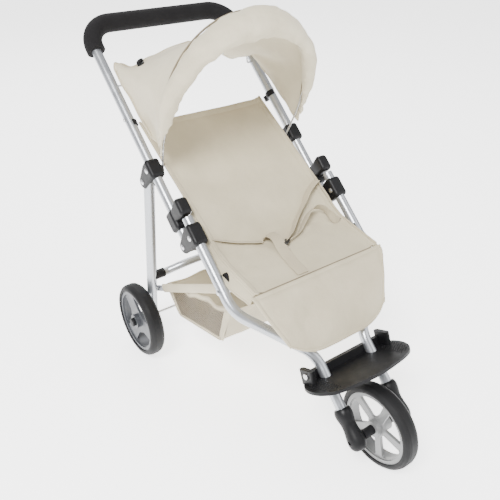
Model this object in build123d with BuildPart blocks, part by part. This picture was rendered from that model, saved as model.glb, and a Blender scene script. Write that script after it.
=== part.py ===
"""Three-wheeled doll stroller with a folding tube frame, a sling seat, a hood and a basket.

Frame: the origin is on the floor under the middle of the stroller, +Z is up, +Y points to
the handle and -Y to the front wheel. Left is -X. All sizes are in millimetres.
"""
import math
import os

from build123d import *

# Driving dimensions -------------------------------------------------------------------
FRAME_HALF_WIDTH = 143.5      # side tubes to the middle plane
FRAME_ANGLE = 41.55           # slope of the side tubes above the floor, degrees
LINE_START_Y = 28.3           # where distances along the upper tube are counted from
LINE_START_Z = 301.0
TUBE_GAP = 33.5               # lower tube's axis above the upper tube's axis
UPPER_RADIUS = 8.0
LOWER_RADIUS = 8.5
LEG_RADIUS = 9.0
TUBE_WALL = 1.2
SEAM_GAP = 0.3                # air between pieces on different bodies
PIVOT_PIN_RADIUS = 2.5
PIVOT_HOLE_RADIUS = 2.56
RIVET_HEAD_RADIUS = 4.6
RIVET_HEAD_HEIGHT = 1.8

WHEEL_RADIUS = 70.0
RIM_RADIUS = 58.6
WHEEL_WIDTH = 28.0
REAR_WHEEL_X = 168.5
REAR_AXLE_Y = 171.0
FRONT_AXLE_Y = -278.4
AXLE_Z = WHEEL_RADIUS
REAR_AXLE_RADIUS = 2.5
FRONT_AXLE_RADIUS = 3.0
AXLE_CLEARANCE = 0.06

FRAME_BEND = (FRAME_HALF_WIDTH, -97.0, 235.5)    # where each lower tube turns inwards
FORK_BEND = (49.0, -179.0, 166.0)                # where it turns down to the wheel

SEAT_HALF_WIDTH = 122.0
CLOTH = 3.0
BASKET_HALF_WIDTH = 123.0
HOOD_HALF_WIDTH = 136.0
BOW_HOLE_RADIUS = 1.66

PARTS_FOLDER = "parts"
SIDES = {"left": -1, "right": 1}

os.makedirs(PARTS_FOLDER, exist_ok=True)

COS = math.cos(math.radians(FRAME_ANGLE))
SIN = math.sin(math.radians(FRAME_ANGLE))


# Places and planes --------------------------------------------------------------------
def on_frame(along, above=0.0, x=0.0):
    """A point given along the upper tube, above its axis and across the stroller."""
    return (x, LINE_START_Y + along * COS - above * SIN, LINE_START_Z + along * SIN + above * COS)


def frame_plane(x):
    """Side plane whose x runs up the upper tube and whose y stands off it."""
    return Plane(origin=on_frame(0, 0, x), x_dir=(0, COS, SIN), z_dir=(1, 0, 0))


def side_plane(x):
    """Upright side plane whose x is +Y and whose y is +Z."""
    return Plane(origin=(x, 0, 0), x_dir=(0, 1, 0), z_dir=(1, 0, 0))


def arch_plane(y, z, tilt):
    """Plane across the stroller through a level line, leaning forwards by the tilt."""
    lean = math.radians(tilt)
    return Plane(origin=(0, y, z), x_dir=(1, 0, 0), z_dir=(0, -math.cos(lean), -math.sin(lean)))


def save(part, name):
    """Labels one finished piece and writes it."""
    part.label = name
    export_step(part, os.path.join(PARTS_FOLDER, name + ".step"))


HANDLE_PIVOT = on_frame(-9)
LEG_PIVOT = on_frame(124, -31)
HOOD_PIVOT = on_frame(125)
LINK_PIVOT = on_frame(-101, TUBE_GAP)
LEG_DIRECTION = Vector(0, REAR_AXLE_Y - LEG_PIVOT[1], AXLE_Z - LEG_PIVOT[2]).normalized()


def on_leg(distance, x=0.0):
    """A point on a rear leg's axis, measured down from its pivot."""
    return (x, LEG_PIVOT[1] + distance * LEG_DIRECTION.Y, LEG_PIVOT[2] + distance * LEG_DIRECTION.Z)


LEG_LENGTH = math.hypot(REAR_AXLE_Y - LEG_PIVOT[1], AXLE_Z - LEG_PIVOT[2])
CROSS_TUBE_STATION = LEG_LENGTH - 92      # cross tube's plugs, down the leg
LEG_LINK_STATION = LEG_LENGTH - 60        # side link's lower pivot, down the leg


# Shared shapes ------------------------------------------------------------------------
def bent_tube(points, radii, outer, wall):
    """A round tube along straight runs joined by bends."""
    with BuildPart() as tube:
        with BuildLine() as path:
            FilletPolyline(*points, radius=radii)
        with BuildSketch(Plane(origin=path.line @ 0, z_dir=path.line % 0)):
            Circle(outer)
            Circle(outer - wall, mode=Mode.SUBTRACT)
        sweep(path=path.line)
    return tube.part


def straight_tube(start, end, outer, wall):
    """A straight round tube between two points."""
    run = Vector(*end) - Vector(*start)
    with BuildPart() as tube:
        with BuildSketch(Plane(origin=start, z_dir=run)):
            Circle(outer)
            Circle(outer - wall, mode=Mode.SUBTRACT)
        extrude(amount=run.length)
    return tube.part


def bent_rod(points, radii, radius):
    """A solid round wire along straight runs joined by bends."""
    with BuildPart() as rod:
        with BuildLine() as path:
            FilletPolyline(*points, radius=radii)
        with BuildSketch(Plane(origin=path.line @ 0, z_dir=path.line % 0)):
            Circle(radius)
        sweep(path=path.line)
    return rod.part


def drilled(part, centres, radius, x_low=-400.0, x_high=400.0):
    """The part with level cross holes through it, between two distances across."""
    with BuildPart() as piece:
        add(part)
        for centre in centres:
            with BuildSketch(Plane(origin=(x_low, centre[1], centre[2]), z_dir=(1, 0, 0))):
                Circle(radius)
            extrude(amount=x_high - x_low, mode=Mode.SUBTRACT)
    return piece.part


def rivet(centre, inner_x, outer_x, radius=PIVOT_PIN_RADIUS):
    """A rivet across one side tube's bracket with a domed head at each end."""
    low, high = sorted((inner_x, outer_x))
    sphere = (RIVET_HEAD_RADIUS ** 2 + RIVET_HEAD_HEIGHT ** 2) / (2 * RIVET_HEAD_HEIGHT)
    half_angle = math.asin(RIVET_HEAD_RADIUS / sphere) / 2
    dome = RIVET_HEAD_HEIGHT - sphere * (1 - math.cos(half_angle))
    shoulder = sphere * math.sin(half_angle)
    with BuildPart() as pin:
        with BuildSketch(Plane(origin=(0, centre[1], centre[2]), x_dir=(1, 0, 0), z_dir=(0, -1, 0))):
            with BuildLine():
                ThreePointArc((low - RIVET_HEAD_HEIGHT, 0), (low - dome, shoulder), (low, RIVET_HEAD_RADIUS))
                Polyline((low, RIVET_HEAD_RADIUS), (low, radius), (high, radius), (high, RIVET_HEAD_RADIUS))
                ThreePointArc((high, RIVET_HEAD_RADIUS), (high + dome, shoulder),
                              (high + RIVET_HEAD_HEIGHT, 0))
                Line((high + RIVET_HEAD_HEIGHT, 0), (low - RIVET_HEAD_HEIGHT, 0))
            make_face()
        revolve(axis=Axis((0, centre[1], centre[2]), (1, 0, 0)))
    return pin.part


def slab(plane_at, outline, x_low, x_high):
    """A flat piece whose outline is drawn in a side plane."""
    with BuildPart() as piece:
        with BuildSketch(plane_at(x_low)):
            with BuildLine():
                Polyline(*outline, close=True)
            make_face()
        extrude(amount=x_high - x_low)
    return piece.part


def group(pieces, name):
    """Several separate solids written as one node."""
    save(Compound(children=list(pieces)), name)


# Frame tubes --------------------------------------------------------------------------
STUB_TOP = 24.0               # lower tube's top end, along the frame
UPPER_TUBE_END = -17.0
SPLICE = 236.0                # where the handle bar slides into the upper tubes
SNAP_STATION = 222.0
SPIGOT_LENGTH = 42.0
SPIGOT_RADIUS = UPPER_RADIUS - TUBE_WALL - 0.05
HANDLE_TOP = 407.0
HANDLE_BEND_RADIUS = 45.0
SNAP_RADIUS = 2.9
FORK_TUBE_END = 22.0          # the tube stops this far above the front axle

fork_run = Vector(0, FRONT_AXLE_Y - FORK_BEND[1], AXLE_Z - FORK_BEND[2])
fork_way = fork_run.normalized()
fork_length = fork_run.length

for side, sign in SIDES.items():
    x_tube = sign * FRAME_HALF_WIDTH
    fork_x = sign * FORK_BEND[0]
    fork_end = fork_length - FORK_TUBE_END
    lower = bent_tube(
        [
            on_frame(STUB_TOP, TUBE_GAP, x_tube),
            (x_tube, FRAME_BEND[1], FRAME_BEND[2]),
            (fork_x, FORK_BEND[1], FORK_BEND[2]),
            (fork_x, FORK_BEND[1] + fork_way.Y * fork_end, FORK_BEND[2] + fork_way.Z * fork_end),
        ],
        [60.0, 55.0],
        LOWER_RADIUS,
        TUBE_WALL,
    )
    upper = straight_tube(on_frame(UPPER_TUBE_END, 0, x_tube), on_frame(SPLICE, 0, x_tube),
                          UPPER_RADIUS, TUBE_WALL)
    leg = straight_tube(on_leg(-9, x_tube), on_leg(LEG_LENGTH + 8, x_tube), LEG_RADIUS, TUBE_WALL)
    clamp_rivet_at = on_frame(-8, TUBE_GAP)
    bracket_rivet_at = on_frame(128)
    save(drilled(lower, [clamp_rivet_at, LINK_PIVOT], PIVOT_PIN_RADIUS,
                 x_tube - 20, x_tube + 20), f"lower_tube_{side}")
    upper = drilled(upper, [HANDLE_PIVOT, bracket_rivet_at], PIVOT_HOLE_RADIUS)
    outward = sorted((x_tube, x_tube + sign * 20))
    save(drilled(upper, [on_frame(SNAP_STATION)], SNAP_RADIUS + 0.1, *outward), f"upper_tube_{side}")
    leg = drilled(leg, [LEG_PIVOT], PIVOT_HOLE_RADIUS)
    save(drilled(leg, [(0, REAR_AXLE_Y, AXLE_Z)], REAR_AXLE_RADIUS), f"rear_leg_{side}")


def handle_ring(start, outer, inner):
    """A hollow round section that runs up both sides and across the top, round two corner bends."""
    bend_start = HANDLE_TOP - HANDLE_BEND_RADIUS
    middle_half = FRAME_HALF_WIDTH - HANDLE_BEND_RADIUS
    with BuildPart() as shape:
        with BuildSketch(Plane(origin=on_frame(HANDLE_TOP, 0, -middle_half), z_dir=(1, 0, 0))):
            Circle(outer)
            Circle(inner, mode=Mode.SUBTRACT)
        extrude(amount=2 * middle_half)
        for way in SIDES.values():
            with BuildSketch(Plane(origin=on_frame(start, 0, way * FRAME_HALF_WIDTH), z_dir=(0, COS, SIN))):
                Circle(outer)
                Circle(inner, mode=Mode.SUBTRACT)
            extrude(amount=bend_start - start)
            corner = on_frame(bend_start, 0, way * FRAME_HALF_WIDTH)
            with BuildSketch(Plane(origin=corner, z_dir=(0, COS, SIN))):
                Circle(outer)
                Circle(inner, mode=Mode.SUBTRACT)
            turn = Axis(on_frame(bend_start, 0, way * middle_half), (0, -way * SIN, way * COS))
            revolve(axis=turn, revolution_arc=90)
    return shape.part


SPIGOT_COLLAR = 0.6           # how far the spigot's collar bites into the bar's wall
with BuildPart() as handle_bar:
    add(handle_ring(SPLICE + 0.05, UPPER_RADIUS, UPPER_RADIUS - TUBE_WALL))
    for x_tube in (-FRAME_HALF_WIDTH, FRAME_HALF_WIDTH):
        add(straight_tube(on_frame(SPLICE - SPIGOT_LENGTH, 0, x_tube),
                          on_frame(SPLICE + 6, 0, x_tube), SPIGOT_RADIUS, TUBE_WALL))
        add(straight_tube(on_frame(SPLICE + 1, 0, x_tube), on_frame(SPLICE + 6, 0, x_tube),
                          SPIGOT_RADIUS + SPIGOT_COLLAR, TUBE_WALL + SPIGOT_COLLAR))
snap_outer = FRAME_HALF_WIDTH + 20
handle_bar_part = drilled(handle_bar.part, [on_frame(SNAP_STATION)], SNAP_RADIUS + 0.1,
                          FRAME_HALF_WIDTH, snap_outer)
handle_bar_part = drilled(handle_bar_part, [on_frame(SNAP_STATION)], SNAP_RADIUS + 0.1,
                          -snap_outer, -FRAME_HALF_WIDTH)
save(handle_bar_part, "handle_bar")

SNAP_INNER = UPPER_RADIUS - TUBE_WALL * 2 - 2.2
SNAP_OUTER = UPPER_RADIUS + 2.2
for side, sign in SIDES.items():
    x_tube = sign * FRAME_HALF_WIDTH
    with BuildPart() as snap_button:
        at = on_frame(SNAP_STATION, 0, x_tube + sign * SNAP_INNER)
        with BuildSketch(Plane(origin=at, z_dir=(sign, 0, 0))):
            Circle(SNAP_RADIUS)
        extrude(amount=SNAP_OUTER - SNAP_INNER)
        tip = snap_button.faces().sort_by(Axis.X)[-1 if sign > 0 else 0]
        fillet(tip.edges(), 1.6)
    save(snap_button.part, f"snap_button_{side}")

GRIP_START = 355.0
GRIP_RADIUS = 15.5
save(handle_ring(GRIP_START, GRIP_RADIUS, UPPER_RADIUS + 0.05), "handle_grip")


# Brackets -----------------------------------------------------------------------------
BRACKET_HALF = 12.4           # half the thickness across, outside the tubes
CHEEK_GAP_HALF = 9.35         # half the slot that a pivoting tube sits in
BRACKET_EDGE = 5.5            # rounding of the mouldings' outer edges


def rounded_lump(x, rounds, half_width):
    """A lump whose outline wraps some rounds in the frame's side plane, with soft outer edges."""
    with BuildPart() as lump:
        with BuildSketch(frame_plane(x)):
            with BuildLine():
                for along, above, radius in rounds:
                    CenterArc((along, above), radius, 0, 360)
            make_hull()
        extrude(amount=half_width, both=True)
        fillet(lump.edges().filter_by(Plane.YZ), BRACKET_EDGE)
    return lump.part


def bracket(x_tube, corners, bore_above, bore_radius, slot, slot_half, holes):
    """A moulded bracket: a sleeve round one tube and two cheeks for a pivoting one.

    Corners are rounds given along and above the frame's line, each with its radius, and the
    outline wraps them. The slot is the space between the cheeks.
    """
    with BuildPart() as body:
        add(rounded_lump(x_tube, corners, BRACKET_HALF))
        with BuildSketch(frame_plane(x_tube)):
            with BuildLine():
                Polyline(*slot, close=True)
            make_face()
        extrude(amount=slot_half, both=True, mode=Mode.SUBTRACT)
        with BuildSketch(Plane(origin=on_frame(-120, bore_above, x_tube), z_dir=(0, COS, SIN))):
            Circle(bore_radius)
        extrude(amount=400, mode=Mode.SUBTRACT)
    return drilled(body.part, holes, PIVOT_PIN_RADIUS)


CLAMP_ROUNDS = [(-18.5, 38.5, 6), (6, 38.5, 6), (-18.5, 27, 6), (6, 27, 6), (-9, 0, 11.5)]
CLAMP_SLOT = [(-80, -60), (-80, 12.2), (80, 12.2), (80, -60)]
LEG_ROUNDS = [(116, -5.5, 6), (137, -5.5, 6), (116, 5.5, 6), (137, 5.5, 6), (124, -31, 12)]
LEG_SLOT = [(60, -80), (60, -9.8), (180, -9.8), (180, -80)]
HOOD_BOSS_RADIUS = 7.0
HOOD_BOSS_HEIGHT = 2.6

for side, sign in SIDES.items():
    x_tube = sign * FRAME_HALF_WIDTH
    clamp = bracket(x_tube, CLAMP_ROUNDS, TUBE_GAP, LOWER_RADIUS + 0.25, CLAMP_SLOT,
                    UPPER_RADIUS + SEAM_GAP, [on_frame(-8, TUBE_GAP), HANDLE_PIVOT])
    save(clamp, f"side_clamp_{side}")
    hub = bracket(x_tube, LEG_ROUNDS, 0.0, UPPER_RADIUS, LEG_SLOT, CHEEK_GAP_HALF,
                  [on_frame(128), LEG_PIVOT])
    boss_plane = Plane(
        origin=(x_tube - sign * BRACKET_HALF, HOOD_PIVOT[1], HOOD_PIVOT[2]), z_dir=(-sign, 0, 0))
    with BuildPart() as leg_bracket:
        add(hub)
        with BuildSketch(boss_plane):
            Circle(HOOD_BOSS_RADIUS)
        extrude(amount=HOOD_BOSS_HEIGHT)
        with BuildSketch(boss_plane):
            Circle(BOW_HOLE_RADIUS)
        extrude(amount=HOOD_BOSS_HEIGHT, mode=Mode.SUBTRACT)
    save(leg_bracket.part, f"leg_bracket_{side}")

clamp_rivets = []
bracket_rivets = []
link_rivets = []
for sign in SIDES.values():
    x_tube = sign * FRAME_HALF_WIDTH
    outer_x = x_tube + sign * BRACKET_HALF
    inner_x = x_tube - sign * BRACKET_HALF
    clamp_rivets.append(rivet(on_frame(-8, TUBE_GAP), inner_x, outer_x))
    clamp_rivets.append(rivet(HANDLE_PIVOT, inner_x, outer_x))
    bracket_rivets.append(rivet(LEG_PIVOT, inner_x, outer_x))
    bracket_rivets.append(rivet(on_frame(128), x_tube + sign * (UPPER_RADIUS - 5), outer_x))
group(clamp_rivets, "side_clamp_rivets")
group(bracket_rivets, "leg_bracket_rivets")


# Fold locks ---------------------------------------------------------------------------
LOCK_BORE_RADIUS = UPPER_RADIUS + 0.08
LOCK_SLEEVE = ([(24, -5.5, 6), (24, 7, 6), (46, -5.5, 6), (46, 7, 6)], 12.0)
LOCK_LOBE = ([(44, 10, 7), (36, 10, 7), (50, 36, 7), (35, 36, 7)], 10.5)


for side, sign in SIDES.items():
    x_tube = sign * FRAME_HALF_WIDTH
    with BuildPart() as fold_lock:
        for rounds, half_width in (LOCK_SLEEVE, LOCK_LOBE):
            add(rounded_lump(x_tube, rounds, half_width))
        with BuildSketch(Plane(origin=on_frame(0, 0, x_tube), z_dir=(0, COS, SIN))):
            Circle(LOCK_BORE_RADIUS)
        extrude(amount=120, mode=Mode.SUBTRACT)
    save(fold_lock.part, f"fold_lock_{side}")


# Side links, cross tube and axle of the rear frame ------------------------------------
LINK_X = 132.7                # middle of the flat link, across
LINK_THICKNESS = 1.8
LINK_HALF_HEIGHT = 5.5
CROSS_TUBE_RADIUS = 7.0
PLUG_RADIUS = 8.5
CROSS_RISE = 12.0
CROSS_FORWARD = 12.0

leg_link_at = on_leg(LEG_LINK_STATION)
link_run = Vector(0, leg_link_at[1] - LINK_PIVOT[1], leg_link_at[2] - LINK_PIVOT[2])
for side, sign in SIDES.items():
    at = Plane(origin=(sign * LINK_X, LINK_PIVOT[1], LINK_PIVOT[2]), x_dir=link_run, z_dir=(1, 0, 0))
    with BuildPart() as side_link:
        with BuildSketch(at):
            with Locations((link_run.length / 2, 0)):
                SlotCenterToCenter(link_run.length, LINK_HALF_HEIGHT * 2)
            Circle(PIVOT_HOLE_RADIUS, mode=Mode.SUBTRACT)
            with Locations((link_run.length, 0)):
                Circle(PIVOT_HOLE_RADIUS, mode=Mode.SUBTRACT)
        extrude(amount=LINK_THICKNESS / 2, both=True)
    save(side_link.part, f"side_link_{side}")
    link_inner = sign * (LINK_X - LINK_THICKNESS / 2 - SEAM_GAP)
    link_rivets.append(rivet(LINK_PIVOT, link_inner, sign * (FRAME_HALF_WIDTH + LOWER_RADIUS + 0.2)))
group(link_rivets, "link_rivets")

cross_at = on_leg(CROSS_TUBE_STATION)
leg_inner_x = FRAME_HALF_WIDTH - LEG_RADIUS
CROSS_END_X = leg_inner_x - 16
cross_points = [
    (-CROSS_END_X, cross_at[1], cross_at[2]),
    (-CROSS_END_X + 8, cross_at[1], cross_at[2]),
    (-76, cross_at[1] - CROSS_FORWARD, cross_at[2] + CROSS_RISE),
    (76, cross_at[1] - CROSS_FORWARD, cross_at[2] + CROSS_RISE),
    (CROSS_END_X - 8, cross_at[1], cross_at[2]),
    (CROSS_END_X, cross_at[1], cross_at[2]),
]
save(bent_tube(cross_points, [14.0, 60.0, 60.0, 14.0], CROSS_TUBE_RADIUS, TUBE_WALL), "rear_cross_tube")

plugs = []
for sign in SIDES.values():
    with BuildPart() as plug:
        with BuildSketch(Plane(origin=(sign * CROSS_END_X, cross_at[1], cross_at[2]), z_dir=(sign, 0, 0))):
            Circle(PLUG_RADIUS)
        extrude(amount=FRAME_HALF_WIDTH - CROSS_END_X)
        leg_start = on_leg(-20, sign * FRAME_HALF_WIDTH)
        leg_z = (0, LEG_DIRECTION.Y, LEG_DIRECTION.Z)
        with BuildSketch(Plane(origin=leg_start, z_dir=leg_z)):
            Circle(LEG_RADIUS)
        extrude(amount=LEG_LENGTH + 40, mode=Mode.SUBTRACT)
    plugs.append(plug.part)
group(plugs, "cross_tube_plugs")

AXLE_END_X = REAR_WHEEL_X + WHEEL_WIDTH / 2 + 4
with BuildPart() as rear_axle:
    with BuildSketch(Plane(origin=(-AXLE_END_X, REAR_AXLE_Y, AXLE_Z), z_dir=(1, 0, 0))):
        Circle(REAR_AXLE_RADIUS)
    extrude(amount=2 * AXLE_END_X)
save(rear_axle.part, "rear_axle")


# Wheels -------------------------------------------------------------------------------
HUB_RADIUS = 13.0
RIM_SEAT = 53.0
SPOKE_COUNT_FRONT = 5
SPOKE_COUNT_REAR = 3


def tyre(x_middle, y_middle):
    """A soft tyre with rounded shoulders, a flat tread and a seat for the rim."""
    half = WHEEL_WIDTH / 2
    with BuildPart() as ring:
        with BuildSketch(Plane(origin=(x_middle, y_middle, AXLE_Z), x_dir=(1, 0, 0), z_dir=(0, -1, 0))):
            with BuildLine():
                Polyline(
                    (-half + 3, RIM_RADIUS), (-half + 0.6, RIM_RADIUS + 0.4), (-half, RIM_RADIUS + 3.5),
                    (-half + 1, WHEEL_RADIUS - 5), (-half + 5, WHEEL_RADIUS - 1.2), (-half + 9, WHEEL_RADIUS),
                    (half - 9, WHEEL_RADIUS), (half - 5, WHEEL_RADIUS - 1.2), (half - 1, WHEEL_RADIUS - 5),
                    (half, RIM_RADIUS + 3.5), (half - 0.6, RIM_RADIUS + 0.4), (half - 3, RIM_RADIUS),
                    close=True,
                )
            make_face()
        revolve(axis=Axis((x_middle, y_middle, AXLE_Z), (1, 0, 0)))
    return ring.part


def rim_window(inner, span):
    """The outline of one window in a rim's web, a trapezoid with a curved outer side."""
    outer = RIM_SEAT - 2
    outer_half = math.radians(span) / 2
    inner_half = outer_half * 0.6
    low = (inner * math.cos(inner_half), inner * math.sin(inner_half))
    far = (outer * math.cos(outer_half), outer * math.sin(outer_half))
    with BuildSketch() as window:
        with BuildLine():
            Polyline((far[0], -far[1]), (low[0], -low[1]), low, far)
            ThreePointArc(far, (outer, 0), (far[0], -far[1]))
        make_face()
        fillet(window.vertices(), 3.0)
    return window.sketch


def rim(x_middle, y_middle, outward, spokes, window_inner, window_span, hub_half, bore):
    """A moulded rim: a barrel, a dished web with windows, and a hub with its bore."""
    half = WHEEL_WIDTH / 2 - 2.5
    axis = Axis((x_middle, y_middle, AXLE_Z), (1, 0, 0))
    across = Plane(origin=(x_middle, y_middle, AXLE_Z), x_dir=(1, 0, 0), z_dir=(0, -1, 0))
    window = rim_window(window_inner, window_span)
    with BuildPart() as wheel:
        with BuildSketch(across):
            with BuildLine():
                Polyline((-half, RIM_SEAT), (-half, RIM_RADIUS), (half, RIM_RADIUS), (half, RIM_SEAT),
                         close=True)
            make_face()
            with BuildLine():
                Polyline((-hub_half, bore), (-hub_half, HUB_RADIUS), (hub_half, HUB_RADIUS), (hub_half, bore),
                         close=True)
            make_face()
            with BuildLine():
                Polyline((outward * 1, HUB_RADIUS - 2), (outward * 6, HUB_RADIUS - 2),
                         (outward * 9, RIM_SEAT + 1), (outward * 4, RIM_SEAT + 1), close=True)
            make_face()
        revolve(axis=axis)
        face_plane = Plane(origin=(x_middle - 20, y_middle, AXLE_Z), x_dir=(0, 1, 0), z_dir=(1, 0, 0))
        with BuildSketch(face_plane):
            with PolarLocations(0, spokes):
                add(window)
        extrude(amount=40, mode=Mode.SUBTRACT)
    return wheel.part


save(tyre(0, FRONT_AXLE_Y), "front_tyre")
FRONT_HUB_HALF = 15.0
save(rim(0, FRONT_AXLE_Y, -1, SPOKE_COUNT_FRONT, 17.0, 57.0, FRONT_HUB_HALF,
         FRONT_AXLE_RADIUS + AXLE_CLEARANCE), "front_rim")
for side, sign in SIDES.items():
    x_wheel = sign * REAR_WHEEL_X
    save(tyre(x_wheel, REAR_AXLE_Y), f"rear_tyre_{side}")
    save(rim(x_wheel, REAR_AXLE_Y, sign, SPOKE_COUNT_REAR, 27.0, 82.0, WHEEL_WIDTH / 2,
             REAR_AXLE_RADIUS + AXLE_CLEARANCE), f"rear_rim_{side}")

caps = []
for sign in SIDES.values():
    start = sign * (REAR_WHEEL_X + WHEEL_WIDTH / 2 + SEAM_GAP)
    with BuildPart() as cap:
        with BuildSketch(Plane(origin=(start, REAR_AXLE_Y, AXLE_Z), z_dir=(sign, 0, 0))):
            Circle(8.0)
        extrude(amount=6.0)
        fillet(cap.faces().sort_by(Axis.X)[-1 if sign > 0 else 0].edges(), 2.5)
        with BuildSketch(Plane(origin=(start, REAR_AXLE_Y, AXLE_Z), z_dir=(sign, 0, 0))):
            Circle(REAR_AXLE_RADIUS)
        extrude(amount=AXLE_END_X - abs(start), mode=Mode.SUBTRACT)
    caps.append(cap.part)
group(caps, "axle_caps")


# Fork ends, front axle and footrest ---------------------------------------------------
CAP_LENGTH = 66.0
CAP_OVERRUN = 16.0            # how far a fork cap runs on past the axle
FORK_CAP_RADII = ((0, 11.6), (5, 13.6), (14, 13.4), (24, 11.6), (40, 12.6), (54, 13.8), (62, 11.5), (66, 7.0))

for side, sign in SIDES.items():
    fork_x = sign * FORK_BEND[0]
    start = fork_length + CAP_OVERRUN - CAP_LENGTH
    cap_origin = (fork_x, FORK_BEND[1] + fork_way.Y * start, FORK_BEND[2] + fork_way.Z * start)
    cap_plane = Plane(origin=cap_origin, x_dir=fork_way, z_dir=(1, 0, 0))
    with BuildPart() as fork_cap:
        with BuildSketch(cap_plane):
            with BuildLine():
                Spline(*FORK_CAP_RADII)
                Polyline(FORK_CAP_RADII[-1], (CAP_LENGTH, 0), (0, 0), FORK_CAP_RADII[0])
            make_face()
        revolve(axis=Axis(cap_origin, fork_way))
        with BuildSketch(Plane(origin=cap_origin, z_dir=fork_way)):
            Circle(LOWER_RADIUS)
        extrude(amount=CAP_LENGTH - CAP_OVERRUN - FORK_TUBE_END + 1, mode=Mode.SUBTRACT)
        with BuildSketch(Plane(origin=(0, FRONT_AXLE_Y, AXLE_Z), z_dir=(sign, 0, 0))):
            Circle(FRONT_AXLE_RADIUS)
        extrude(amount=90, mode=Mode.SUBTRACT)
    save(fork_cap.part, f"fork_cap_{side}")

FRONT_AXLE_HALF = FORK_BEND[0] + 10.5
with BuildPart() as front_axle:
    with BuildSketch(Plane(origin=(-FRONT_AXLE_HALF, FRONT_AXLE_Y, AXLE_Z), z_dir=(1, 0, 0))):
        Circle(FRONT_AXLE_RADIUS)
    extrude(amount=2 * FRONT_AXLE_HALF)
save(front_axle.part, "front_axle")

spacers = []
for sign in SIDES.values():
    start = sign * (FRONT_HUB_HALF + SEAM_GAP)
    with BuildPart() as spacer:
        with BuildSketch(Plane(origin=(start, FRONT_AXLE_Y, AXLE_Z), z_dir=(sign, 0, 0))):
            Circle(7.5)
            Circle(FRONT_AXLE_RADIUS, mode=Mode.SUBTRACT)
        extrude(amount=FORK_BEND[0] - 14.1 - abs(start))
    spacers.append(spacer.part)
group(spacers, "front_spacers")

FOOTREST_SLOPE = 24.0
FOOTREST_AT = (-207.0, 141.0)       # Y and Z where the fork tubes pass through it
FOOTREST_THICKNESS = 5.0
rest_plane = Plane(
    origin=(0, FOOTREST_AT[0], FOOTREST_AT[1]),
    x_dir=(1, 0, 0),
    z_dir=(0, math.sin(math.radians(FOOTREST_SLOPE)), math.cos(math.radians(FOOTREST_SLOPE))),
)
with BuildPart() as footrest:
    with BuildSketch(rest_plane):
        with BuildLine():
            Spline((-72, 16), (-92, 2), (-97, -22), (-84, -48), (-40, -64), (0, -68), (40, -64), (84, -48),
                   (97, -22), (92, 2), (72, 16))
            Line((72, 16), (-72, 16))
        make_face()
    extrude(amount=FOOTREST_THICKNESS / 2, both=True)
    with BuildSketch(rest_plane):
        with Locations((0, 12)):
            RectangleRounded(150, 8, 3)
    extrude(amount=16)
    for sign in SIDES.values():
        with BuildSketch(rest_plane):
            with Locations((sign * 79, 4)):
                RectangleRounded(9, 30, 4)
        extrude(amount=24)
    for sign in SIDES.values():
        tube_start = (sign * FORK_BEND[0], FORK_BEND[1] - fork_way.Y * 40, FORK_BEND[2] - fork_way.Z * 40)
        with BuildSketch(Plane(origin=tube_start, z_dir=fork_way)):
            Circle(LOWER_RADIUS + 0.5)
        extrude(amount=200, mode=Mode.SUBTRACT)
save(footrest.part, "footrest")

screws = []
for sign in SIDES.values():
    head_at = rest_plane.from_local_coords(Vector(sign * 83.5, 3, 15))
    with BuildPart() as screw:
        with BuildSketch(Plane(origin=head_at, z_dir=(sign, 0, 0))):
            Circle(5.0)
        extrude(amount=2.4)
        fillet(screw.faces().sort_by(Axis.X)[-1 if sign > 0 else 0].edges(), 1.2)
    screws.append(screw.part)
group(screws, "footrest_screws")


# Seat ---------------------------------------------------------------------------------
BACK_TOP = (201.0, 433.0)           # Y and Z of the sling's top edge
BACK_HINGE = (9.0, 315.0)           # where the sling bends when the frame folds
CREASE = (-37.5, 284.5)
SEAT_FRONT = (-122.0, 271.0)
APRON_END = (-182.5, 183.5)


def cloth_strip(corners, thickness, x_low, x_high):
    """A cloth panel whose middle line is drawn in the side plane."""
    with BuildPart() as strip:
        with BuildSketch(side_plane(x_low)):
            with BuildLine():
                Polyline(*corners)
            trace(line_width=thickness)
        extrude(amount=x_high - x_low)
    return strip.part


HINGE_GAP = 0.8
back_way = Vector(BACK_TOP[0] - BACK_HINGE[0], BACK_TOP[1] - BACK_HINGE[1]).normalized()
back_foot = (BACK_HINGE[0] + back_way.X * HINGE_GAP, BACK_HINGE[1] + back_way.Y * HINGE_GAP)
save(cloth_strip([BACK_TOP, back_foot], CLOTH, -SEAT_HALF_WIDTH, SEAT_HALF_WIDTH), "seat_back")
save(cloth_strip([BACK_HINGE, CREASE, SEAT_FRONT], CLOTH, -SEAT_HALF_WIDTH, SEAT_HALF_WIDTH), "seat_pan")

APRON_TOP_HALF = 128.0
APRON_FOOT_HALF = 84.0
APRON_CORNER = 26.0
APRON_START = 3.2
apron_drop = Vector(0, APRON_END[0] - SEAT_FRONT[0], APRON_END[1] - SEAT_FRONT[1])
apron_way = apron_drop.normalized()
apron_plane = Plane(
    origin=(0, SEAT_FRONT[0] + apron_way.Y * APRON_START, SEAT_FRONT[1] + apron_way.Z * APRON_START),
    x_dir=(1, 0, 0),
    z_dir=(0, apron_way.Z, -apron_way.Y),
)
apron_length = apron_drop.length - APRON_START
with BuildPart() as leg_apron:
    with BuildSketch(apron_plane):
        with BuildLine():
            Polyline((-APRON_TOP_HALF, 0), (-APRON_FOOT_HALF, -apron_length),
                     (APRON_FOOT_HALF, -apron_length), (APRON_TOP_HALF, 0), close=True)
        make_face()
        fillet(vertices().sort_by(Axis.Y)[:2], APRON_CORNER)
    extrude(amount=CLOTH / 2, both=True)
save(leg_apron.part, "leg_apron")


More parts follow.
